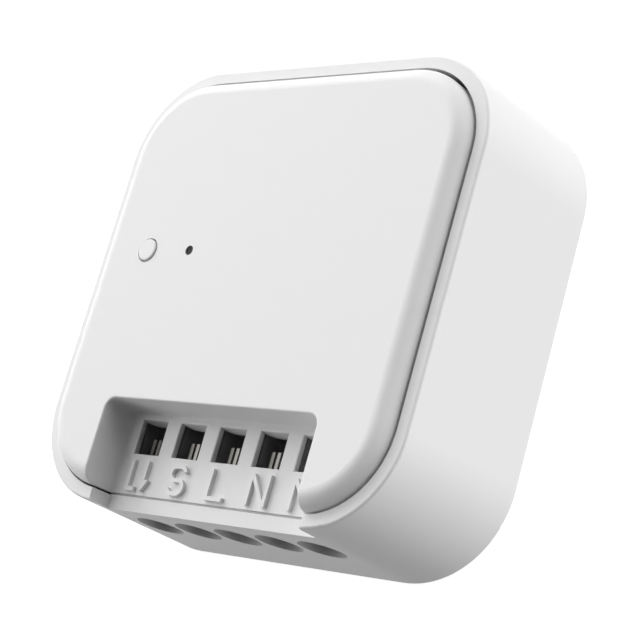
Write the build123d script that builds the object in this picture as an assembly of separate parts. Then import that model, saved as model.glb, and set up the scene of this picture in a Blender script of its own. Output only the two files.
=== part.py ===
from build123d import *
import math
import os

os.makedirs("parts", exist_ok=True)

# In-wall dimmer module with five push-in terminals. Millimetres.
# The module lies on its back: Z points out of its front, X to the right and
# Y away from the wire entries. The origin is the centre of the back face.

# Housing
body_side = 43.0
corner_radius = 8.9
housing_depth = 15.4
back_flare = 0.34
rim_width = 1.19
recess_radius = 8.0
floor_thickness = 1.5
outer_edge_radius = 0.25

# Front cover
cover_gap = 0.26
cover_shift = 0.07
cover_proud = 1.4
cover_wall = 1.5
skirt_wall = 1.2
cover_edge_radius = 1.5

# Pocket in the front cover, open towards the wire entries
pocket_length = 9.43
pocket_side_margin = 1.39
pocket_depth = 3.8
pocket_plate = 1.0
pocket_draft = 3.0
pocket_corner_radius = 1.1
pocket_floor_radius = 0.2
pocket_mouth_radius = 0.15
sill_step = 0.11
seam_set_back = 0.12
seam_depth = 0.22

# Terminal row
terminal_count = 5
pitch = 5.0
bore_wall = 0.5
wire_height = 2.9
window_width = 3.22
window_height = 3.25
window_from_edge = 5.35
window_plate = 0.5
window_edge_radius = 0.14
relief_margin = 0.45
lip_thickness = 0.6
lip_drop = 0.72
lip_slope = 13.5

# Raised terminal marks
mark_height = 2.88
mark_width = 2.17
wide_mark_width = 2.44
mark_stroke = 0.38
mark_raise = 0.39
mark_from_edge = 1.81
mark_shift = 0.22
slant_stroke = 0.46
s_end_angle = 15.0
small_mark_width = 1.16
small_mark_inset = 1.06
arrow_gap = 0.23
arrow_head_width = 1.36
arrow_head_length = 1.08

# Snap hooks of the front cover and their slots in the housing
hook_offset = 9.5
hook_width = 4.0
hook_length = 2.8
hook_thickness = 1.0
barb_depth = 0.55
barb_ramp = 0.9
barb_land = 0.4
slot_depth = 0.55
slot_clearance = 0.15

# Posts inside the housing
post_offset = 4.0
post_width = 2.4
ledge_depth = 2.2
post_fit = 0.15
post_root = 0.45

# Boards
board_gap = 1.0
board_thickness = 1.6
control_headroom = 3.7
control_thickness = 1.0
control_width = 16.0
control_length = 24.0
control_from_side = 1.8
board_corner_radius = 2.0
sheet_thickness = 0.2

# Terminal block
block_gap = 0.1
block_end_gap = 0.15
block_length = 9.15
block_end_wall = 0.95
chamber_wall = 1.1
chamber_floor = 0.7
chamber_inner_wall = 0.75
funnel_depth = 1.45
channel_radius = 1.5
pin_clearance = 0.05

# Terminal contacts with two fingers
contact_thickness = 0.3
contact_clearance = 0.1
contact_setback = 0.2
contact_root_length = 0.8
finger_tip_from_edge = 7.1
finger_width = 0.37
finger_pitch = 0.67
finger_shift = -0.2
finger_top_gap = 0.05
pin_shoulder = 0.2
pin_length = 0.6

# Clamp springs
peg_radius = 0.4
peg_fit = 0.05
peg_setback = 0.1
peg_height = 1.1
spring_thickness = 0.25
spring_width = 1.2
knee_from_edge = 5.9
knee_gap = 0.12
spring_tip_from_edge = 6.9
spring_tip_drop = 0.1
curl_angle = 230.0
curl_cut_steps = 4

# Pairing button, its switch and the indicator
button_from_side = 7.7
button_y = 2.4
button_hole_radius = 1.2
button_gap = 0.12
button_proud = 0.15
button_top_radius = 0.15
button_travel = 0.3
button_play = 0.05
flange_radius = 1.6
flange_thickness = 0.6
flange_gap = 0.1
stem_radius = 0.7
collar_wall = 0.8
collar_height = 1.2
collar_fit = 0.15
switch_side = 3.5
switch_height = 1.4
plunger_radius = 0.8
plunger_proud = 0.35
plunger_fit = 0.05
plunger_floor = 0.2
indicator_spacing = 5.55
indicator_hole_radius = 0.47
indicator_recess = 0.1
pipe_radius = 0.9
pipe_fit = 0.03
pipe_nose_fit = 0.05
pipe_collar_height = 2.0
led_gap = 0.15
led_length = 1.6
led_width = 0.8
led_height = 0.6

# Board header and spacers
header_width = 2.0
header_pins = 5
header_pin_spacing = 2.0
header_pin_side = 0.5
header_pin_tail = 0.7
header_from_edge = 0.3
spacer_radius = 1.4
spacer_inset = 2.2
hole_fit = 0.15
header_shift = 1.0

# Distance within which two places count as the same
tolerance = 0.01

# Power parts under the main board
pad_thickness = 0.4
pad_margin = 0.6
transistor_width = 6.6
transistor_length = 6.1
transistor_height = 2.3
transistor_spacing = 8.4
transistor_from_edge = 5.7
tab_inset = 0.5
tab_length = 1.2
tab_thickness = 0.5
shunt_length = 6.3
shunt_width = 3.2
shunt_height = 0.6
shunt_x = 6.0
shunt_y = -3.4
controller_length = 8.6
controller_width = 3.9
controller_height = 1.5
controller_x = -6.0
controller_y = -3.4

# Tall parts on the right of the main board
tall_part_clearance = 0.5
filter_length = 13.0
filter_width = 5.0
filter_inset = 2.4
filter_gap = 1.8
case_radius = 0.5
bulk_radius = 4.0
bulk_length = 12.0
bulk_inset = 1.6
bulk_groove_depth = 0.3
bulk_groove_width = 1.0
bulk_groove_from_end = 2.0
choke_radius = 3.25
choke_core_radius = 1.6
choke_flange = 1.0
choke_top_clearance = 1.5
winding_gap = 0.35
varistor_radius = 3.5
varistor_thickness = 3.4
varistor_gap = 0.8
varistor_lift = 0.6
lead_radius = 0.3
lead_spacing = 5.0
supply_radius = 2.5
supply_height = 8.0
supply_inset = 4.7
supply_from_edge = 1.5

# Low parts under the control board, from the left edge of the main board
fuse_radius = 1.6
fuse_length = 8.6
fuse_cap_length = 1.6
fuse_cap_wall = 0.15
fuse_inset = 9.2
fuse_gap = 4.1
inductor_side = 5.0
inductor_height = 3.0
inductor_inset = 5.2
coupler_length = 6.4
coupler_width = 4.4
coupler_height = 2.4
coupler_inset = 11.4
middle_row_shift = 0.8
rectifier_length = 4.8
rectifier_width = 4.0
rectifier_height = 1.6
rectifier_inset = 6.6
converter_length = 5.0
converter_width = 4.0
converter_height = 1.6
converter_inset = 12.0
far_row_shift = 6.4

# Radio module on the control board
radio_width = 12.0
radio_length = 9.0
radio_board_thickness = 0.8
radio_from_edge = 1.1
shield_inset = 0.8
shield_height = 1.7
shield_wall = 0.2
antenna_length = 3.2
antenna_width = 1.6
antenna_height = 1.0
antenna_from_edge = 0.8
antenna_from_side = 3.0

# Heights above the back face
board_z = floor_thickness + pad_thickness + transistor_height
board_top = board_z + board_thickness
wire_z = board_top + wire_height
face_z = housing_depth + cover_proud
ceiling_z = face_z - cover_wall
pocket_floor_z = face_z - pocket_depth
skirt_z = pocket_floor_z - pocket_plate
web_z = pocket_floor_z - window_plate
lip_z = web_z - lip_drop
lip_run = (pocket_floor_z - lip_z) * math.tan(math.radians(lip_slope))
block_top = skirt_z - block_gap
chamber_z = board_top + chamber_floor
control_top = ceiling_z - control_headroom
control_z = control_top - control_thickness
switch_top = control_top + switch_height
plunger_top = switch_top + plunger_proud
flange_top = ceiling_z - flange_gap

# Plan sizes
half_side = body_side / 2
cavity_side = body_side - 2 * rim_width
cavity_half = cavity_side / 2
cover_side = cavity_side - 2 * cover_gap
cover_half = cover_side / 2
cover_front = -cover_half - cover_shift
cover_radius = recess_radius - cover_gap
board_side = cavity_side - 2 * board_gap
board_half = board_side / 2
row_length = (terminal_count - 1) * pitch
terminal_xs = [index * pitch - row_length / 2 for index in range(terminal_count)]
bore_radius = (pitch - bore_wall) / 2
pocket_width = row_length + window_width + 2 * pocket_side_margin
pocket_top_y = pocket_length - half_side
window_front = window_from_edge - half_side
window_back = window_front + window_height
block_front = block_end_gap - cavity_half
block_back = block_front + block_length
chamber_width = pitch - chamber_wall
chamber_front = block_front + funnel_depth
chamber_back = block_back - chamber_inner_wall
button_x = button_from_side - half_side
indicator_x = button_x + indicator_spacing
control_left = control_from_side - cavity_half
control_right = control_left + control_width
control_x = (control_left + control_right) / 2
control_y = (block_back + board_half) / 2
control_front = control_y - control_length / 2
control_back = control_y + control_length / 2
header_x = control_right - header_from_edge - header_width / 2
header_y = control_y - header_shift
radio_y = control_back - radio_from_edge - radio_length / 2

# Places of the tall parts between the terminals and the far edge of the board
filter_y = block_back + filter_gap + filter_width / 2
filter_back = filter_y + filter_width / 2
supply_x = board_half - supply_inset - supply_radius
supply_y = board_half - supply_from_edge - supply_radius
supply_front = supply_y - supply_radius
bulk_x = board_half - bulk_inset - bulk_radius
bulk_y = (filter_back + supply_front) / 2
varistor_x = (control_right + supply_x - supply_radius) / 2
varistor_y = supply_front - varistor_gap - varistor_thickness / 2
varistor_front = varistor_y - varistor_thickness / 2
choke_x = (control_right + bulk_x - bulk_radius) / 2
choke_y = (filter_back + varistor_front) / 2
choke_height = ceiling_z - choke_top_clearance - board_top

# Places of the low parts
fuse_y = block_back + fuse_gap + fuse_radius
middle_row_y = control_y - middle_row_shift
far_row_y = control_y + far_row_shift
transistor_y = board_half - transistor_from_edge

# Contact and spring profiles in the plane across the terminals
root_y = chamber_front + contact_setback
slit_y = root_y + contact_root_length
finger_tip_y = finger_tip_from_edge - half_side
finger_top_z = block_top - finger_top_gap
contact_width = chamber_width - 2 * contact_clearance
peg_y = slit_y + peg_radius + peg_setback
peg_z = chamber_z + peg_height
curl_radius = peg_radius + peg_fit + spring_thickness / 2
knee_y = knee_from_edge - half_side
spring_tip_y = spring_tip_from_edge - half_side


def block(x0, x1, y0, y1, z0, z1):
    """A box between two opposite corners."""
    centre = Pos((x0 + x1) / 2, (y0 + y1) / 2, (z0 + z1) / 2)
    return centre * Box(x1 - x0, y1 - y0, z1 - z0)


def block_at(x, y, length, width, z0, z1):
    """A box centred on x, y between two heights."""
    return block(x - length / 2, x + length / 2, y - width / 2, y + width / 2, z0, z1)


def upright_rod(x, y, radius, z0, z1):
    """A round rod along Z."""
    return Pos(x, y, (z0 + z1) / 2) * Cylinder(radius, z1 - z0)


def rod_along_x(y, z, radius, x0, x1):
    """A round rod along X."""
    return Pos((x0 + x1) / 2, y, z) * Rot(0, 90, 0) * Cylinder(radius, x1 - x0)


def rod_along_y(x, z, radius, y0, y1):
    """A round rod along Y."""
    return Pos(x, (y0 + y1) / 2, z) * Rot(90, 0, 0) * Cylinder(radius, y1 - y0)


def plate(side, radius, z0, z1):
    """A square prism with rounded corners between two heights."""
    return Pos(0, 0, z0) * extrude(RectangleRounded(side, side, radius), z1 - z0)


def at_walls(shape, angles, offset):
    """Copies of a shape made for the right wall, in mirror pairs on each wall."""
    places = [(angle, side * offset) for angle in angles for side in (-1, 1)]
    return [Rot(0, 0, angle) * Pos(0, along, 0) * shape for angle, along in places]


def profile_across(points, x0, x1):
    """A prism along X over an outline of y, z points."""
    plane = Plane(origin=(x0, 0, 0), x_dir=(0, 1, 0), z_dir=(1, 0, 0))
    return extrude(plane * make_face(Polyline(*points, close=True)), x1 - x0)


def pocket_tool(floor_radius):
    """The space of the pocket, from the face of the cover down to its floor."""
    downward = Plane(origin=(0, 0, face_z), x_dir=(1, 0, 0), z_dir=(0, 0, -1))
    outline = Pos(0, (body_side - pocket_top_y) / 2) * Rectangle(pocket_width, body_side + pocket_top_y)
    outline = fillet(outline.vertices().group_by(Axis.Y)[0], pocket_corner_radius)
    tool = extrude(downward * outline, pocket_depth, taper=pocket_draft)
    if floor_radius:
        floor = tool.faces().sort_by(Axis.Z)[0]
        tool = fillet(floor.edges().sort_by(Axis.Y)[1:], floor_radius)
    return tool


def hook():
    """One snap hook on the right skirt of the cover."""
    tip_z = skirt_z - hook_length
    inner = cover_half - hook_thickness
    tongue = block(inner, cover_half, -hook_width / 2, hook_width / 2, tip_z, skirt_z + skirt_wall)
    barb_x = cover_half + barb_depth
    catch_z = tip_z + barb_ramp + barb_land
    outline = Polyline(
        (inner, tip_z), (cover_half, tip_z), (barb_x, tip_z + barb_ramp), (barb_x, catch_z), (inner, catch_z),
        close=True,
    )
    plane = Plane(origin=(0, hook_width / 2, 0), x_dir=(1, 0, 0), z_dir=(0, -1, 0))
    return tongue + extrude(plane * make_face(outline), hook_width)


def hook_slot():
    """The blind slot that one snap hook catches in."""
    low = skirt_z - hook_length - slot_clearance
    high = skirt_z - hook_length + barb_ramp + barb_land + slot_clearance
    reach = hook_width / 2 + slot_clearance
    return block(cavity_half - slot_clearance, cavity_half + slot_depth, -reach, reach, low, high)


def housing():
    """The box with its rim, wire bores, notch, ledges and hook slots."""
    taper = math.degrees(math.atan2(back_flare, housing_depth))
    back_side = body_side + 2 * back_flare
    outline = RectangleRounded(back_side, back_side, corner_radius + back_flare)
    shell = extrude(outline, housing_depth, taper=taper)
    ends = shell.faces().sort_by(Axis.Z)
    shell = fillet(ends[0].edges() + ends[-1].edges(), outer_edge_radius)
    shell -= plate(cavity_side, recess_radius, floor_thickness, housing_depth)
    bottom = floor_thickness - post_root
    wall = cavity_half + post_root
    half = post_width / 2
    ledge = block(cavity_half - ledge_depth, wall, -half, half, bottom, board_z)
    post = block(cavity_half - board_gap + post_fit, wall, -half, half, bottom, skirt_z)
    for piece in at_walls(ledge, (0, 90, 180), post_offset) + at_walls(ledge, (270,), pitch):
        shell += piece
    for piece in at_walls(post, (0, 90, 180), post_offset):
        shell += piece
    for piece in at_walls(hook_slot(), (0, 90, 180), hook_offset):
        shell -= piece
    for x in terminal_xs:
        shell -= rod_along_y(x, wire_z, bore_radius, -body_side, block_front)
    reach = pocket_width / 2
    shell += block(-reach, reach, rim_width / 2 - half_side, sill_step - cavity_half, skirt_z, pocket_floor_z)
    return shell - pocket_tool(0)


def arc_strip(x, y, radius, start, sweep, z0, z1):
    """A strip of the marks that follows an arc."""
    low = radius - mark_stroke / 2
    high = radius + mark_stroke / 2
    outer = CenterArc((x, y), high, start, sweep)
    inner = CenterArc((x, y), low, start, sweep)
    ends = [Line(outer @ 0, inner @ 0), Line(outer @ 1, inner @ 1)]
    return Pos(0, 0, z0) * extrude(make_face([outer, inner] + ends), z1 - z0)


def letter_l(x, width, low, high, z0, z1):
    """A raised letter L whose left side is at x."""
    upright = block(x, x + mark_stroke, low, high, z0, z1)
    return upright + block(x, x + width, low, low + mark_stroke, z0, z1)


def letter_n(x, width, low, high, z0, z1):
    """A raised letter N whose left side is at x."""
    left = block(x, x + mark_stroke, low, high, z0, z1)
    right = block(x + width - mark_stroke, x + width, low, high, z0, z1)
    points = [(x, high), (x + slant_stroke, high), (x + width, low), (x + width - slant_stroke, low)]
    bar = Pos(0, 0, z0) * extrude(make_face(Polyline(*points, close=True)), z1 - z0)
    return left + right + bar


def letter_s(x, width, low, high, z0, z1):
    """A raised letter S from two round arcs and a bar between them."""
    radius = (high - low - mark_stroke) / 4
    middle = (high + low) / 2
    stretch = (width - mark_stroke) / 2 - radius
    centre = x + width / 2
    right = centre + stretch
    left = centre - stretch
    half = mark_stroke / 2
    shape = arc_strip(left, middle + radius, radius, 90, 180, z0, z1)
    shape += arc_strip(right, middle - radius, radius, -90, 180, z0, z1)
    sweep = 90 - s_end_angle
    shape += arc_strip(right, middle + radius, radius, s_end_angle, sweep, z0, z1)
    shape += arc_strip(left, middle - radius, radius, 180 + s_end_angle, sweep, z0, z1)
    for y in (middle - 2 * radius, middle, middle + 2 * radius):
        shape += block(left, right, y - half, y + half, z0, z1)
    return shape


def down_arrow(x, low, high, z0, z1):
    """A raised arrow that points to the wire entries."""
    shaft = block(x - mark_stroke / 2, x + mark_stroke / 2, low + arrow_head_length / 2, high, z0, z1)
    top = low + arrow_head_length
    points = [(x - arrow_head_width / 2, top), (x + arrow_head_width / 2, top), (x, low)]
    return shaft + Pos(0, 0, z0) * extrude(make_face(Polyline(*points, close=True)), z1 - z0)


def marks():
    """The raised marks under the windows: load, switch, line and two neutrals."""
    low = mark_from_edge - half_side
    high = low + mark_height
    z0 = pocket_floor_z - pocket_plate / 2
    z1 = pocket_floor_z + mark_raise
    middles = [x + mark_shift for x in terminal_xs]
    small_left = terminal_xs[0] - small_mark_inset
    arrow_x = small_left + small_mark_width + arrow_gap + arrow_head_width / 2
    made = [letter_l(small_left, small_mark_width, low, high, z0, z1)]
    made.append(down_arrow(arrow_x, low, high, z0, z1))
    made.append(letter_s(middles[1] - mark_width / 2, mark_width, low, high, z0, z1))
    made.append(letter_l(middles[2] - mark_width / 2, mark_width, low, high, z0, z1))
    for middle in middles[3:]:
        made.append(letter_n(middle - wide_mark_width / 2, wide_mark_width, low, high, z0, z1))
    return made


def window_lip(x):
    """The hanging arched tongue at the inner side of one window."""
    half = window_width / 2
    high = pocket_floor_z - window_plate / 2
    sides = Polyline((-half, web_z), (-half, high), (half, high), (half, web_z))
    arc = ThreePointArc((half, web_z), (0, lip_z), (-half, web_z))
    plane = Plane(origin=(x, window_back + lip_thickness, 0), x_dir=(1, 0, 0), z_dir=(0, -1, 0))
    return extrude(plane * make_face([sides, arc]), lip_thickness + lip_run)


def window_relief(x):
    """The space that leaves a thin web round one window, seen from inside."""
    reach = window_width / 2 + relief_margin
    front = window_front - relief_margin
    return block(x - reach, x + reach, front, window_back, skirt_z, web_z)


def window_hole(x):
    """The space of one window, with the slope of its tongue."""
    x0 = x - window_width / 2
    foot = window_back - lip_run
    top = [(window_front, pocket_floor_z), (window_back, pocket_floor_z)]
    return profile_across(top + [(foot, lip_z), (window_front, lip_z)], x0, x0 + window_width)


def window_edges(cover):
    """The upper edges of the five windows."""
    reach = window_width / 2 + tolerance
    near = cover.edges().filter_by_position(Axis.Z, pocket_floor_z - tolerance, pocket_floor_z + tolerance)
    near = near.filter_by_position(Axis.Y, window_front - tolerance, window_back + tolerance)
    return near.filter_by(lambda edge: any(abs(edge.center().X - x) < reach for x in terminal_xs))


def mouth_edges(cover):
    """The edges where the pocket meets the face and the rounded edge of the cover."""
    reach = pocket_width / 2 + pocket_mouth_radius
    near = cover.edges().filter_by_position(Axis.X, -reach, reach)
    near = near.filter_by_position(Axis.Y, cover_front, pocket_top_y + pocket_mouth_radius)
    high = face_z - cover_edge_radius
    return near.filter_by(lambda edge: min(edge.start_point().Z, edge.end_point().Z) > high - tolerance)


def front_cover():
    """The inset cover with its pocket, windows, marks and snap hooks, a little nearer to the wires."""
    place = Pos(0, -cover_shift, 0)
    cover = place * plate(cover_side, cover_radius, skirt_z, face_z)
    cover = fillet(cover.faces().sort_by(Axis.Z)[-1].edges(), cover_edge_radius)
    hollow = place * plate(cover_side - 2 * skirt_wall, cover_radius - skirt_wall, skirt_z, ceiling_z)
    shell_x = pocket_width / 2 + skirt_wall
    hollow -= block(-shell_x, shell_x, -body_side, pocket_top_y + skirt_wall, skirt_z, ceiling_z)
    cover -= hollow
    cover -= pocket_tool(pocket_floor_radius)
    cover = fillet(mouth_edges(cover), pocket_mouth_radius)
    reach = pocket_width / 2
    seam_z = pocket_floor_z - seam_depth
    cover -= block(-reach, reach, cover_front, cover_front + seam_set_back, seam_z, pocket_floor_z)
    for x in terminal_xs:
        cover -= window_relief(x)
        cover += window_lip(x)
        cover -= window_hole(x)
    cover = fillet(window_edges(cover), window_edge_radius)
    for mark in marks():
        cover += mark
    outer = flange_radius + collar_fit + collar_wall
    cover += upright_rod(button_x, button_y, outer, ceiling_z - collar_height, ceiling_z)
    cover -= upright_rod(button_x, button_y, flange_radius + collar_fit, ceiling_z - collar_height, ceiling_z)
    cover -= upright_rod(button_x, button_y, button_hole_radius, ceiling_z, face_z)
    outer = pipe_radius + pipe_fit + collar_wall
    cover += upright_rod(indicator_x, button_y, outer, ceiling_z - pipe_collar_height, ceiling_z)
    inner = pipe_radius + pipe_fit
    cover -= upright_rod(indicator_x, button_y, inner, ceiling_z - pipe_collar_height, ceiling_z)
    cover -= upright_rod(indicator_x, button_y, indicator_hole_radius, ceiling_z, face_z)
    for piece in at_walls(hook(), (0, 90, 180), hook_offset):
        cover += place * piece
    return cover


def pairing_button():
    """The push button: raised head, flange under the cover and stem."""
    head_radius = button_hole_radius - button_gap
    head = upright_rod(button_x, button_y, head_radius, flange_top, face_z + button_proud)
    head = fillet(head.edges().sort_by(Axis.Z)[-1], button_top_radius)
    flange = upright_rod(button_x, button_y, flange_radius, flange_top - flange_thickness, flange_top)
    stem_foot = plunger_top + button_play
    return head + flange + upright_rod(button_x, button_y, stem_radius, stem_foot, flange_top)


def light_pipe():
    """The clear pipe that carries the indicator light to the face."""
    foot = control_top + led_height + led_gap
    pipe = upright_rod(indicator_x, button_y, pipe_radius, foot, ceiling_z)
    nose_radius = indicator_hole_radius - pipe_nose_fit
    return pipe + upright_rod(indicator_x, button_y, nose_radius, foot, face_z - indicator_recess)


def tact_switch_body():
    """The switch body on the control board, with the bore for its plunger."""
    body = block_at(button_x, button_y, switch_side, switch_side, control_top, switch_top)
    radius = plunger_radius + plunger_fit
    return body - upright_rod(button_x, button_y, radius, control_top + plunger_floor, switch_top)


def tact_switch_plunger():
    """The plunger, high enough in its bore to move by the travel of the button."""
    foot = control_top + plunger_floor + button_travel + button_play
    return upright_rod(button_x, button_y, plunger_radius, foot, plunger_top)


def status_led():
    """The indicator LED on the control board."""
    return block_at(indicator_x, button_y, led_length, led_width, control_top, control_top + led_height)


def terminal_block():
    """The terminal body: five chambers with wire funnels and spring pegs."""
    half = row_length / 2 + chamber_width / 2 + block_end_wall
    body = block(-half, half, block_front, block_back, board_top, block_top)
    room = chamber_width / 2
    for x in terminal_xs:
        body -= block(x - room, x + room, chamber_front, chamber_back, chamber_z, block_top)
        funnel = Cone(bore_radius, channel_radius, funnel_depth)
        body -= Pos(x, (block_front + chamber_front) / 2, wire_z) * Rot(-90, 0, 0) * funnel
        body += rod_along_x(peg_y, peg_z, peg_radius, x - room, x + room)
        body -= pin_slot(x, pin_clearance, board_top, chamber_z)
    return body


def blade(x, y0, y1, z0, z1):
    """An upright blade of contact sheet at the right side of one chamber."""
    right = x + contact_width / 2
    return block(right - contact_thickness, right, y0, y1, z0, z1)


def pin_slot(x, clearance, z0, z1):
    """The space of one solder pin, with a clearance all round."""
    right = x + contact_width / 2 + clearance
    left = right - contact_thickness - 2 * clearance
    near = root_y + pin_shoulder - clearance
    far = slit_y - pin_shoulder + clearance
    return block(left, right, near, far, z0, z1)


def contact(x):
    """One terminal contact: root sheet, two fingers, cheek and solder pin."""
    half = contact_width / 2
    low = finger_top_z - contact_thickness
    sheet = block(x - half, x + half, root_y, slit_y, low, finger_top_z)
    for side in (-1, 1):
        middle = x + finger_shift + side * finger_pitch / 2
        left = middle - finger_width / 2
        sheet += block(left, left + finger_width, root_y, finger_tip_y, low, finger_top_z)
    cheek = blade(x, root_y, slit_y, chamber_z, low)
    return sheet + cheek + pin_slot(x, 0, board_z - pin_length, chamber_z)


def clamp_spring(x):
    """One clamp spring: a curl round the peg, the clamp leg and the release lip."""
    x0 = x - spring_width / 2
    x1 = x + spring_width / 2
    half = spring_thickness / 2
    knee_z = finger_top_z - contact_thickness - knee_gap - half
    reach = math.hypot(knee_y - peg_y, knee_z - peg_z)
    bearing = math.atan2(knee_z - peg_z, knee_y - peg_y)
    angle = bearing - math.asin(curl_radius / reach)
    start_y = peg_y - curl_radius * math.sin(angle)
    start_z = peg_z + curl_radius * math.cos(angle)
    ring = rod_along_x(peg_y, peg_z, curl_radius + half, x0, x1)
    ring -= rod_along_x(peg_y, peg_z, curl_radius - half, x0, x1)
    first = math.degrees(angle) + 90 + curl_angle
    fan = chamber_width
    opening = [(peg_y, peg_z)]
    for step in range(curl_cut_steps + 1):
        turn = math.radians(first + step * (360 - curl_angle) / curl_cut_steps)
        opening.append((peg_y + fan * math.cos(turn), peg_z + fan * math.sin(turn)))
    spring = ring - profile_across(opening, x0, x1)
    spring += strip(start_y, start_z, knee_y, knee_z, x0, x1)
    spring += rod_along_x(knee_y, knee_z, half, x0, x1)
    return spring + strip(knee_y, knee_z, spring_tip_y, knee_z - spring_tip_drop, x0, x1)


def strip(y0, z0, y1, z1, x0, x1):
    """A flat length of spring steel between two points of its middle line."""
    length = math.hypot(y1 - y0, z1 - z0)
    side_y = -(z1 - z0) / length * spring_thickness / 2
    side_z = (y1 - y0) / length * spring_thickness / 2
    points = [
        (y0 + side_y, z0 + side_z), (y1 + side_y, z1 + side_z),
        (y1 - side_y, z1 - side_z), (y0 - side_y, z0 - side_z),
    ]
    return profile_across(points, x0, x1)


def header_ys():
    """Places of the header pins along Y."""
    middle = (header_pins - 1) / 2
    return [header_y + (index - middle) * header_pin_spacing for index in range(header_pins)]


def board_header():
    """The plastic header between the boards with its square pins."""
    length = header_pins * header_pin_spacing
    header = block_at(header_x, header_y, header_width, length, board_top, control_z)
    for y in header_ys():
        low = board_z - header_pin_tail
        high = control_top + header_pin_tail
        header += block_at(header_x, y, header_pin_side, header_pin_side, low, high)
    return header


def header_holes(z0, z1):
    """Holes for the header pins in a board."""
    radius = header_pin_side / math.sqrt(2) + hole_fit
    return [upright_rod(header_x, y, radius, z0, z1) for y in header_ys()]


def spacer_places():
    """Places of the two spacers at the outer side of the control board."""
    x = control_left + spacer_inset
    return [(x, control_front + spacer_inset), (x, control_back - spacer_inset)]


def board_spacers():
    """Two round spacers that carry the control board."""
    return [upright_rod(x, y, spacer_radius, board_top, control_z) for x, y in spacer_places()]


def main_board():
    """The power board with holes for the contact pins and the header."""
    board = plate(board_side, recess_radius - board_gap, board_z, board_top)
    for x in terminal_xs:
        board -= pin_slot(x, hole_fit, board_z, board_top)
    for hole in header_holes(board_z, board_top):
        board -= hole
    return board


def control_board():
    """The low-voltage board behind the button and the indicator."""
    outline = RectangleRounded(control_width, control_length, board_corner_radius)
    board = Pos(control_x, control_y, control_z) * extrude(outline, control_thickness)
    for hole in header_holes(control_z, control_top):
        board -= hole
    return board


def insulating_sheet():
    """The film under the control board, cut out round the header and spacers."""
    width = control_width - 2 * hole_fit
    length = control_length - 2 * hole_fit
    low = control_z - sheet_thickness
    outline = RectangleRounded(width, length, board_corner_radius)
    sheet = Pos(control_x, control_y, low) * extrude(outline, sheet_thickness)
    for x, y in spacer_places():
        sheet -= upright_rod(x, y, spacer_radius + hole_fit, low, control_z)
    right = header_x + header_width
    left = header_x - header_width / 2 - hole_fit
    reach = header_pins * header_pin_spacing / 2 + hole_fit
    return sheet - block(left, right, header_y - reach, header_y + reach, low, control_z)


def radio_board():
    """The small board of the radio module."""
    high = control_top + radio_board_thickness
    return block_at(control_x, radio_y, radio_width, radio_length, control_top, high)


def radio_shield():
    """The metal can over the radio circuit, open towards its board."""
    low = control_top + radio_board_thickness
    length = radio_width - 2 * shield_inset
    width = radio_length - 2 * shield_inset
    can = block_at(control_x, radio_y, length, width, low, low + shield_height)
    can = fillet(can.edges().filter_by(Axis.Z), case_radius)
    length -= 2 * shield_wall
    width -= 2 * shield_wall
    return can - block_at(control_x, radio_y, length, width, low, low + shield_height - shield_wall)


def chip_antenna():
    """The ceramic antenna at the lower edge of the control board."""
    x = control_left + antenna_from_side + antenna_length / 2
    y = control_front + antenna_from_edge + antenna_width / 2
    return block_at(x, y, antenna_length, antenna_width, control_top, control_top + antenna_height)


def transistor(x):
    """One power transistor flat under the main board, with its tab."""
    low = board_z - transistor_height
    body = block_at(x, transistor_y, transistor_width, transistor_length, low, board_z)
    half = transistor_width / 2 - tab_inset
    end = transistor_y + transistor_length / 2 + tab_length
    return body + block(x - half, x + half, transistor_y, end, board_z - tab_thickness, board_z)


def thermal_pad():
    """The soft pad that carries heat from the transistors to the housing."""
    length = transistor_spacing + transistor_width + 2 * pad_margin
    width = transistor_length + 2 * pad_margin
    return block_at(0, transistor_y, length, width, floor_thickness, floor_thickness + pad_thickness)


def current_shunt():
    """The flat resistor that senses the load current."""
    return block_at(shunt_x, shunt_y, shunt_length, shunt_width, board_z - shunt_height, board_z)


def dimmer_controller():
    """The controller chip under the main board."""
    low = board_z - controller_height
    return block_at(controller_x, controller_y, controller_length, controller_width, low, board_z)


def filter_capacitor():
    """The film capacitor across the line."""
    x = board_half - filter_inset - filter_length / 2
    high = ceiling_z - tall_part_clearance
    case = block_at(x, filter_y, filter_length, filter_width, board_top, high)
    return fillet(case.edges().filter_by(Axis.Z), case_radius)


def bulk_capacitor():
    """The lying electrolytic capacitor with the groove of its seal."""
    z = board_top + bulk_radius
    y0 = bulk_y - bulk_length / 2
    can = rod_along_y(bulk_x, z, bulk_radius, y0, y0 + bulk_length)
    can = fillet(can.edges(), case_radius)
    y0 += bulk_groove_from_end
    y1 = y0 + bulk_groove_width
    groove = rod_along_y(bulk_x, z, bulk_radius, y0, y1)
    core = rod_along_y(bulk_x, z, bulk_radius - bulk_groove_depth, y0, y1)
    return can - (groove - core)


def choke_core():
    """The drum core of the choke."""
    top = board_top + choke_height
    core = upright_rod(choke_x, choke_y, choke_core_radius, board_top, top)
    core += upright_rod(choke_x, choke_y, choke_radius, board_top, board_top + choke_flange)
    return core + upright_rod(choke_x, choke_y, choke_radius, top - choke_flange, top)


def choke_winding():
    """The winding between the flanges of the drum core."""
    low = board_top + choke_flange
    high = board_top + choke_height - choke_flange
    winding = upright_rod(choke_x, choke_y, choke_radius - winding_gap, low, high)
    return winding - upright_rod(choke_x, choke_y, choke_core_radius, low, high)


def varistor():
    """The surge disc on its two leads."""
    z = board_top + varistor_lift + varistor_radius
    disc = rod_along_y(varistor_x, z, varistor_radius, varistor_front, varistor_front + varistor_thickness)
    disc = fillet(disc.edges(), case_radius)
    for side in (-1, 1):
        disc += upright_rod(varistor_x + side * lead_spacing / 2, varistor_y, lead_radius, board_top, z)
    return disc


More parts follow.
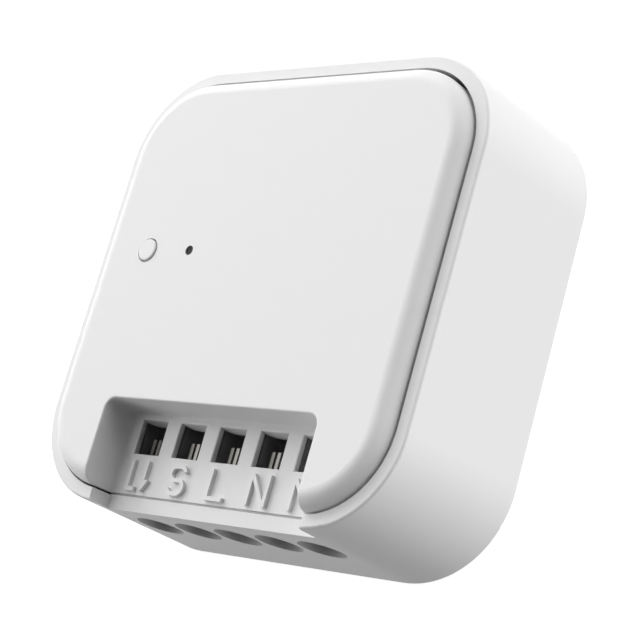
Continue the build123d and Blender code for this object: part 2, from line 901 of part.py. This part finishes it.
def supply_capacitor():
    """The upright capacitor of the low-voltage supply."""
    can = upright_rod(supply_x, supply_y, supply_radius, board_top, board_top + supply_height)
    return fillet(can.edges().sort_by(Axis.Z)[-1], case_radius)


def fuse():
    """The lying fuse with its two end caps."""
    x = fuse_inset - board_half
    z = board_top + fuse_radius
    half = fuse_length / 2
    body = rod_along_x(fuse_y, z, fuse_radius - fuse_cap_wall, x - half, x + half)
    body += rod_along_x(fuse_y, z, fuse_radius, x - half, x - half + fuse_cap_length)
    return body + rod_along_x(fuse_y, z, fuse_radius, x + half - fuse_cap_length, x + half)


def supply_inductor():
    """The square inductor of the low-voltage supply."""
    x = inductor_inset - board_half
    high = board_top + inductor_height
    case = block_at(x, middle_row_y, inductor_side, inductor_side, board_top, high)
    return fillet(case.edges().filter_by(Axis.Z), case_radius)


def sync_coupler():
    """The coupler that reports the zero crossings of the line."""
    x = coupler_inset - board_half
    high = board_top + coupler_height
    return block_at(x, middle_row_y, coupler_width, coupler_length, board_top, high)


def bridge_rectifier():
    """The rectifier of the low-voltage supply."""
    x = rectifier_inset - board_half
    high = board_top + rectifier_height
    return block_at(x, far_row_y, rectifier_length, rectifier_width, board_top, high)


def supply_converter():
    """The converter chip of the low-voltage supply."""
    x = converter_inset - board_half
    high = board_top + converter_height
    return block_at(x, far_row_y, converter_width, converter_length, board_top, high)


parts = {
    "housing": housing(),
    "front_cover": front_cover(),
    "pairing_button": pairing_button(),
    "light_pipe": light_pipe(),
    "tact_switch_body": tact_switch_body(),
    "tact_switch_plunger": tact_switch_plunger(),
    "status_led": status_led(),
    "terminal_block": terminal_block(),
    "main_board": main_board(),
    "control_board": control_board(),
    "board_header": board_header(),
    "board_spacers": Compound(board_spacers()),
    "insulating_sheet": insulating_sheet(),
    "radio_board": radio_board(),
    "radio_shield": radio_shield(),
    "chip_antenna": chip_antenna(),
    "power_transistor_left": transistor(-transistor_spacing / 2),
    "power_transistor_right": transistor(transistor_spacing / 2),
    "thermal_pad": thermal_pad(),
    "current_shunt": current_shunt(),
    "dimmer_controller": dimmer_controller(),
    "filter_capacitor": filter_capacitor(),
    "bulk_capacitor": bulk_capacitor(),
    "choke_core": choke_core(),
    "choke_winding": choke_winding(),
    "varistor": varistor(),
    "supply_capacitor": supply_capacitor(),
    "fuse": fuse(),
    "supply_inductor": supply_inductor(),
    "sync_coupler": sync_coupler(),
    "bridge_rectifier": bridge_rectifier(),
    "supply_converter": supply_converter(),
}
for number, place in enumerate(terminal_xs, start=1):
    parts[f"contact_{number}"] = contact(place)
    parts[f"clamp_spring_{number}"] = clamp_spring(place)

for name, shape in parts.items():
    export_step(shape, f"parts/{name}.step")
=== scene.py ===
import math

import bpy
from mathutils import Euler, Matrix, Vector

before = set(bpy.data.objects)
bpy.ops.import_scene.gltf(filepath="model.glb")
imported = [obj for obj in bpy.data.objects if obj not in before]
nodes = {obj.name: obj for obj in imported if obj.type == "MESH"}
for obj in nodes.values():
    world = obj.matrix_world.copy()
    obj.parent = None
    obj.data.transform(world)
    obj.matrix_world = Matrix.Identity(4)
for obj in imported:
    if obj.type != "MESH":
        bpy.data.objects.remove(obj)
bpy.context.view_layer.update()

MM = 0.001

# The camera stands at the photograph's viewing angle, in millimetres and degrees.
CAMERA_PLACE = (116.58, -44.31, 127.44)
CAMERA_TURN = (27.752, 38.047, 19.699)
CAMERA_LENS = 106.304
SENSOR_WIDTH = 36.0

# How near and how far the camera sees, in metres.
CAMERA_NEAR = 0.01
CAMERA_FAR = 20.0

# The floor's width in metres, its own grey, and the light that it gives of its own to whatever
# looks straight at it. Past the floor is the backdrop.
FLOOR_SIZE = 4.0
FLOOR_TONE = 0.5
FLOOR_GLOW = 0.85
BACKDROP = (1.0, 1.0, 1.0)

# Soft lamps round the object: the width of every lamp's disc, then the azimuth and elevation of
# each, all in degrees, and its strength. Azimuth 0 is on the side of the wires and 90 towards X.
# Those with an elevation below zero shine up through the floor, as on a light table.
LAMP_DISC = 40
LAMPS = (
    ("far_left", -125, 19, 0.56),
    ("far_left_high", -145, 34, 0.18),
    ("far", -177, 25, 0.31),
    ("left", -92, 28, 0.2),
    ("left_high", -112, 46, 0.08),
    ("overhead", -132, 73, 0.3),
    ("near_left", -40, 23, 0.16),
    ("near_low", -20, 8, 0.12),
    ("right", 118, 7, 0.31),
    ("right_low", 105, -16, 0.42),
    ("below_near_right", 73, -25, 0.14),
    ("below_right", 93, -42, 0.2),
    ("below_far_right", 145, -49, 0.21),
)

# Base colours, as linear red, green and blue.
CASE_WHITE = (0.74, 0.74, 0.74)
PIPE = (0.012, 0.012, 0.014)
BLOCK_GREY = (0.3, 0.3, 0.305)
BLACK = (0.02, 0.02, 0.021)
EPOXY = (0.028, 0.027, 0.027)
TIN = (0.3, 0.295, 0.275)
CONTACT_METAL = (0.17, 0.165, 0.155)
SPRING_STEEL = (0.5, 0.49, 0.47)
GOLD = (0.83, 0.62, 0.28)
COPPER = (0.62, 0.24, 0.1)
ALUMINIUM = (0.7, 0.71, 0.73)
MASK_GREEN = (0.01, 0.085, 0.035)
TRACK_GREEN = (0.02, 0.15, 0.06)
RADIO_MASK = (0.005, 0.0425, 0.0175)
RADIO_TRACK = (0.01, 0.075, 0.03)
LAMINATE = (0.45, 0.4, 0.22)
NYLON = (0.7, 0.68, 0.6)
PLUNGER_GREY = (0.21, 0.204, 0.18)
FILM_AMBER = (0.5, 0.22, 0.03)
PAD_GREY = (0.3, 0.32, 0.36)
CERAMIC = (0.55, 0.5, 0.42)
GLASS_WHITE = (0.72, 0.71, 0.68)
PHOSPHOR = (0.8, 0.6, 0.1)
COUPLER_WHITE = (0.666, 0.666, 0.666)
CAPACITOR_YELLOW = (0.75, 0.52, 0.04)
SLEEVE = (0.02, 0.03, 0.06)
FERRITE = (0.045, 0.042, 0.04)
VARISTOR_BLUE = (0.02, 0.09, 0.34)

# The case's plastic: its tone is nearly even, and its shine low. The button is a share lighter.
CASE_ROUGHNESS = 0.5
CASE_VARIATION = 0.004
CASE_SHINE = 0.25
BUTTON_LIGHTER = 0.01

# Noise on the surfaces, in features per metre on each axis. Rolled metal has few along its streaks
# and many across them, and laminate has many through its layers.
NOISE_DETAIL = 3.0
GRAIN = (9000, 9000, 9000)
BODY_CLOUDS = (1500, 1500, 1500)
FILM_CLOUDS = (500, 500, 500)
STREAKS_ALONG_X = (1500, 7000, 7000)
STREAKS_ALONG_Y = (9000, 1200, 9000)
LAMINATE_LAYERS = (300, 300, 9000)

# How high the relief of the surfaces is, in metres, and how strongly it shows.
GRAIN_HEIGHT = 2e-6
BODY_HEIGHT = 4e-6
TRACK_HEIGHT = 2e-5
TURN_HEIGHT = 5e-5
FAINT = 0.1
STRONG = 0.6

# Rolled metal is this much smoother and rougher, from one streak to the next.
STREAK_SMOOTHER = 0.06
STREAK_ROUGHER = 0.1

# The boards: cells that stand for tracks, per metre, and half the gap between two as a share of a
# cell. Where the surface's normal has less than the limit along Z, it is an edge of the board.
TRACK_CELLS = 420.0
TRACK_GAP = 0.07
EDGE_LIMIT = 0.5
MASK_ROUGHNESS = 0.35
LAMINATE_ROUGHNESS = 0.8

# The scale of the wave that sets the turns of the winding 0.35 mm apart.
WINDING_SCALE = 900.0

# How clear the film is.
FILM_CLEARNESS = 0.4

# How rough the bare metal at the ends of some parts is.
BARE_METAL_ROUGHNESS = 0.3

# How long that metal is on each part, in millimetres. At an end with none, the limit of the metal
# lies a millimetre outside the part.
NO_METAL = -1.0
SWITCH_PLATE = 0.2
LED_CAP = 0.35
ANTENNA_CAP = 0.4
TRANSISTOR_TAB = 1.2
SHUNT_CAP = 1.2
FUSE_CAP = 1.6
LYING_CAN_END = 0.4
UPRIGHT_CAN_TOP = 0.3
VARISTOR_LEADS = 0.5

# The sockets of a node that mixes colours, which share their names with others of that node.
MIX_FACTOR = 0
MIX_FIRST = 6
MIX_SECOND = 7
MIX_RESULT = 2


def add_camera():
    """The camera, fitted to the outline, the pocket and the wire holes in the photograph."""
    data = bpy.data.cameras.new("camera")
    data.sensor_width = SENSOR_WIDTH
    data.lens = CAMERA_LENS
    data.clip_start = CAMERA_NEAR
    data.clip_end = CAMERA_FAR
    camera = bpy.data.objects.new("camera", data)
    camera.location = Vector(CAMERA_PLACE) * MM
    camera.rotation_euler = Euler([math.radians(angle) for angle in CAMERA_TURN], "XYZ")
    bpy.context.scene.collection.objects.link(camera)
    bpy.context.scene.camera = camera


def shaded(colour, amount):
    """A colour made lighter by a share of itself, or darker by a negative one."""
    return tuple(channel * (1 + amount) for channel in colour)


def new_material(name, roughness, metallic=0.0):
    """A new Principled material: the material, its tree and its shader."""
    material = bpy.data.materials.new(name)
    material.use_nodes = True
    shader = material.node_tree.nodes["Principled BSDF"]
    shader.inputs["Roughness"].default_value = roughness
    shader.inputs["Metallic"].default_value = metallic
    return material, material.node_tree, shader


def noise(tree, per_metre):
    """Noise in the object's own space, with a count of features per metre on each axis."""
    place = tree.nodes.new("ShaderNodeTexCoord")
    mapping = tree.nodes.new("ShaderNodeMapping")
    mapping.inputs["Scale"].default_value = per_metre
    texture = tree.nodes.new("ShaderNodeTexNoise")
    texture.inputs["Scale"].default_value = 1.0
    texture.inputs["Detail"].default_value = NOISE_DETAIL
    tree.links.new(place.outputs["Object"], mapping.inputs["Vector"])
    tree.links.new(mapping.outputs["Vector"], texture.inputs["Vector"])
    return texture.outputs["Fac"]


def blend(tree, factor, first, second):
    """A mix of two colours, each a colour or another node's output."""
    mix = tree.nodes.new("ShaderNodeMix")
    mix.data_type = "RGBA"
    tree.links.new(factor, mix.inputs[MIX_FACTOR])
    for number, colour in ((MIX_FIRST, first), (MIX_SECOND, second)):
        if isinstance(colour, tuple):
            mix.inputs[number].default_value = (*colour, 1)
        else:
            tree.links.new(colour, mix.inputs[number])
    return mix.outputs[MIX_RESULT]


def mottled(tree, factor, colour, darker, lighter):
    """A colour that goes with the factor from a share darker than itself to a share lighter."""
    return blend(tree, factor, shaded(colour, -darker), shaded(colour, lighter))


def math_node(tree, operation, first, second=None):
    """One math node on an output alone, or with a number or another output."""
    node = tree.nodes.new("ShaderNodeMath")
    node.operation = operation
    tree.links.new(first, node.inputs[0])
    if isinstance(second, (int, float)):
        node.inputs[1].default_value = second
    elif second is not None:
        tree.links.new(second, node.inputs[1])
    return node.outputs[0]


def along(tree, axis, output="Object"):
    """The place, or the direction of the surface, along one axis of the object."""
    place = tree.nodes.new("ShaderNodeTexCoord")
    parts = tree.nodes.new("ShaderNodeSeparateXYZ")
    tree.links.new(place.outputs[output], parts.inputs[0])
    return parts.outputs["XYZ".index(axis)]


def outside(tree, axis, low, high):
    """One where the place along an axis is outside a range in metres, else zero."""
    from_middle = math_node(tree, "SUBTRACT", along(tree, axis), (low + high) / 2)
    distance = math_node(tree, "ABSOLUTE", from_middle)
    return math_node(tree, "GREATER_THAN", distance, (high - low) / 2)


def range_of(tree, factor, low, high):
    """A number between two values, as the factor goes from zero to one."""
    node = tree.nodes.new("ShaderNodeMapRange")
    node.inputs["To Min"].default_value = low
    node.inputs["To Max"].default_value = high
    tree.links.new(factor, node.inputs["Value"])
    return node.outputs["Result"]


def add_bump(tree, shader, relief, strength, height):
    """Fine relief of the surface, with its height in metres."""
    bump = tree.nodes.new("ShaderNodeBump")
    bump.inputs["Strength"].default_value = strength
    bump.inputs["Distance"].default_value = height
    tree.links.new(relief, bump.inputs["Height"])
    tree.links.new(bump.outputs["Normal"], shader.inputs["Normal"])


def moulded(name, colour, roughness, variation=0.06, clouds=900, shine=0.5):
    """Moulded plastic, rubber or ferrite: faint clouds, counted per metre, and a fine grain."""
    material, tree, shader = new_material(name, roughness)
    shader.inputs["Specular IOR Level"].default_value = shine
    cloudiness = noise(tree, (clouds, clouds, clouds))
    mixed = mottled(tree, cloudiness, colour, darker=variation, lighter=variation)
    tree.links.new(mixed, shader.inputs["Base Color"])
    add_bump(tree, shader, noise(tree, GRAIN), FAINT, GRAIN_HEIGHT)
    return material


def case_plastic(name, colour):
    """The white plastic of the housing, the cover and the button."""
    return moulded(name, colour, CASE_ROUGHNESS, CASE_VARIATION, shine=CASE_SHINE)


def sheet_metal(name, colour, direction, roughness):
    """Rolled sheet metal, with fine streaks in one direction."""
    material, tree, shader = new_material(name, roughness, metallic=1.0)
    streaks = noise(tree, direction)
    mixed = mottled(tree, streaks, colour, darker=0.18, lighter=0.12)
    tree.links.new(mixed, shader.inputs["Base Color"])
    smoothest = roughness - STREAK_SMOOTHER
    roughest = roughness + STREAK_ROUGHER
    tree.links.new(range_of(tree, streaks, smoothest, roughest), shader.inputs["Roughness"])
    add_bump(tree, shader, streaks, FAINT, GRAIN_HEIGHT)
    return material


def bare_outside(name, axis, low, high, body, metal, roughness):
    """A plastic, glass or ceramic body inside a range along an axis, and bare metal outside it."""
    material, tree, shader = new_material(name, roughness)
    mask = outside(tree, axis, low, high)
    clouds = noise(tree, BODY_CLOUDS)
    plain = mottled(tree, clouds, body, darker=0.12, lighter=0.12)
    bright = mottled(tree, clouds, metal, darker=0.12, lighter=0.1)
    tree.links.new(blend(tree, mask, plain, bright), shader.inputs["Base Color"])
    tree.links.new(mask, shader.inputs["Metallic"])
    finish = range_of(tree, mask, roughness, BARE_METAL_ROUGHNESS)
    tree.links.new(finish, shader.inputs["Roughness"])
    add_bump(tree, shader, clouds, FAINT, BODY_HEIGHT)
    return material


def extent(name):
    """The box round one node in its own space."""
    points = [vertex.co for vertex in nodes[name].data.vertices]
    low = [min(point[axis] for point in points) for axis in range(3)]
    high = [max(point[axis] for point in points) for axis in range(3)]
    return low, high


def metal_ended(name, axis, low_end, high_end, body, metal=TIN, roughness=0.5):
    """The material of one node with bare metal at its ends on an axis, each of its own length."""
    low, high = extent(name)
    index = "XYZ".index(axis)
    body_low = low[index] + low_end * MM
    body_high = high[index] - high_end * MM
    return bare_outside(name, axis, body_low, body_high, body, metal, roughness)


def sleeved_can(name, axis, low_end, high_end):
    """The material of an aluminium can in a dark sleeve, bare at its ends on an axis."""
    return metal_ended(name, axis, low_end, high_end, SLEEVE, ALUMINIUM, roughness=0.35)


def board_material(name, mask_colour, track_colour):
    """A circuit board: solder mask over tracks on the faces, bare laminate on the edges."""
    material, tree, shader = new_material(name, MASK_ROUGHNESS)
    place = tree.nodes.new("ShaderNodeTexCoord")
    cells = tree.nodes.new("ShaderNodeTexVoronoi")
    cells.feature = "DISTANCE_TO_EDGE"
    cells.inputs["Scale"].default_value = TRACK_CELLS
    tree.links.new(place.outputs["Object"], cells.inputs["Vector"])
    gap = math_node(tree, "LESS_THAN", cells.outputs["Distance"], TRACK_GAP)
    face = blend(tree, gap, track_colour, mask_colour)
    layers = noise(tree, LAMINATE_LAYERS)
    edge = mottled(tree, layers, LAMINATE, darker=0.25, lighter=0.15)
    facing_z = math_node(tree, "ABSOLUTE", along(tree, "Z", "Normal"))
    side = math_node(tree, "LESS_THAN", facing_z, EDGE_LIMIT)
    tree.links.new(blend(tree, side, face, edge), shader.inputs["Base Color"])
    finish = range_of(tree, side, MASK_ROUGHNESS, LAMINATE_ROUGHNESS)
    tree.links.new(finish, shader.inputs["Roughness"])
    add_bump(tree, shader, cells.outputs["Distance"], FAINT, TRACK_HEIGHT)
    return material


def winding_material(name):
    """Enamelled copper wire, one turn above the other."""
    material, tree, shader = new_material(name, roughness=0.3, metallic=0.8)
    place = tree.nodes.new("ShaderNodeTexCoord")
    turns = tree.nodes.new("ShaderNodeTexWave")
    turns.bands_direction = "Z"
    turns.inputs["Scale"].default_value = WINDING_SCALE
    tree.links.new(place.outputs["Object"], turns.inputs["Vector"])
    # The copper darkens into the grooves between the turns, where the relief is lowest: painted
    # shade in the creases.
    mixed = mottled(tree, turns.outputs["Fac"], COPPER, darker=0.6, lighter=0.0)
    tree.links.new(mixed, shader.inputs["Base Color"])
    add_bump(tree, shader, turns.outputs["Fac"], STRONG, TURN_HEIGHT)
    return material


def film_material(name):
    """The amber insulating film, which lets some light through."""
    material, tree, shader = new_material(name, roughness=0.25)
    clouds = noise(tree, FILM_CLOUDS)
    mixed = mottled(tree, clouds, FILM_AMBER, darker=0.1, lighter=0.0)
    tree.links.new(mixed, shader.inputs["Base Color"])
    shader.inputs["Transmission Weight"].default_value = FILM_CLEARNESS
    return material


def dress(names, material):
    """Gives each named piece this one material."""
    for name in names:
        slots = nodes[name].data.materials
        slots.clear()
        slots.append(material)


def numbered(stem):
    """The names of the pieces of one kind, in order."""
    return sorted(name for name in nodes if name.startswith(stem))


def dress_outside():
    """The pieces that show: housing, cover, button, indicator, terminals."""
    dress(["housing"], case_plastic("housing_plastic", CASE_WHITE))
    dress(["front_cover"], case_plastic("cover_plastic", CASE_WHITE))
    dress(["pairing_button"], case_plastic("button_plastic", shaded(CASE_WHITE, BUTTON_LIGHTER)))
    dress(["light_pipe"], moulded("smoked_pipe", PIPE, roughness=0.5, shine=0.1))
    terminal_plastic = moulded("terminal_plastic", BLOCK_GREY, roughness=0.55, variation=0.15)
    dress(["terminal_block"], terminal_plastic)
    contact_metal = sheet_metal("contact_metal", CONTACT_METAL, STREAKS_ALONG_Y, roughness=0.35)
    dress(numbered("contact_"), contact_metal)
    spring_steel = sheet_metal("spring_steel", SPRING_STEEL, STREAKS_ALONG_Y, roughness=0.25)
    dress(numbered("clamp_spring_"), spring_steel)


def dress_boards():
    """The three boards and what joins and parts them."""
    dress(["main_board"], board_material("power_board", MASK_GREEN, TRACK_GREEN))
    dress(["control_board"], board_material("logic_board", MASK_GREEN, TRACK_GREEN))
    dress(["radio_board"], board_material("radio_laminate", RADIO_MASK, RADIO_TRACK))
    board_top = extent("main_board")[1][2]
    control_low = extent("control_board")[0][2]
    pins = bare_outside("header", "Z", board_top, control_low, BLACK, GOLD, roughness=0.5)
    dress(["board_header"], pins)
    dress(["board_spacers"], moulded("nylon", NYLON, roughness=0.5))
    dress(["insulating_sheet"], film_material("amber_film"))


def dress_control():
    """The switch, the indicator LED and the radio on the control board."""
    dress(["tact_switch_plunger"], moulded("plunger_plastic", PLUNGER_GREY, roughness=0.4))
    dress(["tact_switch_body"], metal_ended("tact_switch_body", "Z", NO_METAL, SWITCH_PLATE, BLACK))
    dress(["status_led"], metal_ended("status_led", "X", LED_CAP, LED_CAP, PHOSPHOR, GLASS_WHITE))
    dress(["radio_shield"], sheet_metal("shield_tin", TIN, STREAKS_ALONG_X, roughness=0.35))
    dress(["chip_antenna"], metal_ended("chip_antenna", "X", ANTENNA_CAP, ANTENNA_CAP, CERAMIC))


def dress_power():
    """The parts on the power board that switch, sense and filter the mains."""
    for name in ("power_transistor_left", "power_transistor_right"):
        dress([name], metal_ended(name, "Y", NO_METAL, TRANSISTOR_TAB, EPOXY))
    silicone = moulded("silicone_pad", PAD_GREY, roughness=0.75, variation=0.2, clouds=3000)
    dress(["thermal_pad"], silicone)
    dress(["current_shunt"], metal_ended("current_shunt", "X", SHUNT_CAP, SHUNT_CAP, EPOXY))
    dress(["sync_coupler"], moulded("coupler_white", COUPLER_WHITE, roughness=0.45, variation=0.05))
    filter_yellow = moulded("filter_yellow", CAPACITOR_YELLOW, roughness=0.35, variation=0.08)
    dress(["filter_capacitor"], filter_yellow)
    dress(["choke_core"], moulded("ferrite", FERRITE, roughness=0.6, variation=0.2, clouds=2500))
    dress(["choke_winding"], winding_material("enamelled_copper"))
    dress(["varistor"], metal_ended("varistor", "Z", VARISTOR_LEADS, NO_METAL, VARISTOR_BLUE))
    dress(["fuse"], metal_ended("fuse", "X", FUSE_CAP, FUSE_CAP, GLASS_WHITE))


def dress_supply():
    """The controller chip and the parts of the low-voltage supply."""
    for name in ("dimmer_controller", "supply_converter", "bridge_rectifier"):
        dress([name], moulded(name, EPOXY, roughness=0.5, variation=0.2, clouds=2500))
    dress(["bulk_capacitor"], sleeved_can("bulk_capacitor", "Y", LYING_CAN_END, LYING_CAN_END))
    dress(["supply_capacitor"], sleeved_can("supply_capacitor", "Z", NO_METAL, UPRIGHT_CAN_TOP))
    powder = moulded("inductor_powder", FERRITE, roughness=0.7, variation=0.3, clouds=4000)
    dress(["supply_inductor"], powder)


def seen_directly(tree):
    """One where the camera, a mirror or a clear piece looks, else zero."""
    path = tree.nodes.new("ShaderNodeLightPath")
    camera_ray = path.outputs["Is Camera Ray"]
    straight = math_node(tree, "MAXIMUM", camera_ray, path.outputs["Is Glossy Ray"])
    return math_node(tree, "MAXIMUM", straight, path.outputs["Is Transmission Ray"])


def add_world():
    """A white backdrop that is only seen directly; the lamps light the surfaces."""
    world = bpy.data.worlds.new("studio")
    bpy.context.scene.world = world
    world.use_nodes = True
    tree = world.node_tree
    background = tree.nodes["Background"]
    background.inputs["Color"].default_value = (*BACKDROP, 1)
    tree.links.new(seen_directly(tree), background.inputs["Strength"])


def floor_material():
    """Pale paper that takes a shadow, with a glow that is only seen directly."""
    material = bpy.data.materials.new("floor")
    material.use_nodes = True
    tree = material.node_tree
    tree.nodes.clear()
    output = tree.nodes.new("ShaderNodeOutputMaterial")
    paper = tree.nodes.new("ShaderNodeBsdfDiffuse")
    paper.inputs["Color"].default_value = (FLOOR_TONE, FLOOR_TONE, FLOOR_TONE, 1)
    glow = tree.nodes.new("ShaderNodeEmission")
    strength = math_node(tree, "MULTIPLY", seen_directly(tree), FLOOR_GLOW)
    tree.links.new(strength, glow.inputs["Strength"])
    both = tree.nodes.new("ShaderNodeAddShader")
    tree.links.new(paper.outputs[0], both.inputs[0])
    tree.links.new(glow.outputs[0], both.inputs[1])
    tree.links.new(both.outputs[0], output.inputs["Surface"])
    return material


def add_floor():
    """The floor, which takes the lamps' light but neither shades the object nor lights it."""
    mesh = bpy.data.meshes.new("floor")
    half = FLOOR_SIZE / 2
    corners = [(-half, -half, 0), (half, -half, 0), (half, half, 0), (-half, half, 0)]
    mesh.from_pydata(corners, [], [(0, 1, 2, 3)])
    mesh.materials.append(floor_material())
    floor = bpy.data.objects.new("floor", mesh)
    bpy.context.scene.collection.objects.link(floor)
    floor.visible_diffuse = False
    floor.visible_shadow = False


def towards(azimuth, elevation):
    """The direction of a lamp, from its azimuth and elevation in degrees."""
    turn = math.radians(azimuth)
    rise = math.radians(elevation)
    level = math.cos(rise)
    return Vector((math.sin(turn) * level, -math.cos(turn) * level, math.sin(rise)))


def add_lamps():
    """Sun lamps with a wide disc, which give soft shadows. Strength 1 lights a white face to 1."""
    for name, azimuth, elevation, strength in LAMPS:
        data = bpy.data.lights.new(name, "SUN")
        data.energy = strength * math.pi
        data.angle = math.radians(LAMP_DISC)
        lamp = bpy.data.objects.new(name, data)
        lamp.rotation_mode = "QUATERNION"
        lamp.rotation_quaternion = towards(azimuth, elevation).to_track_quat("Z", "Y")
        bpy.context.scene.collection.objects.link(lamp)


add_camera()
dress_outside()
dress_boards()
dress_control()
dress_power()
dress_supply()
add_world()
add_floor()
add_lamps()

bpy.context.scene.view_settings.view_transform = "Standard"
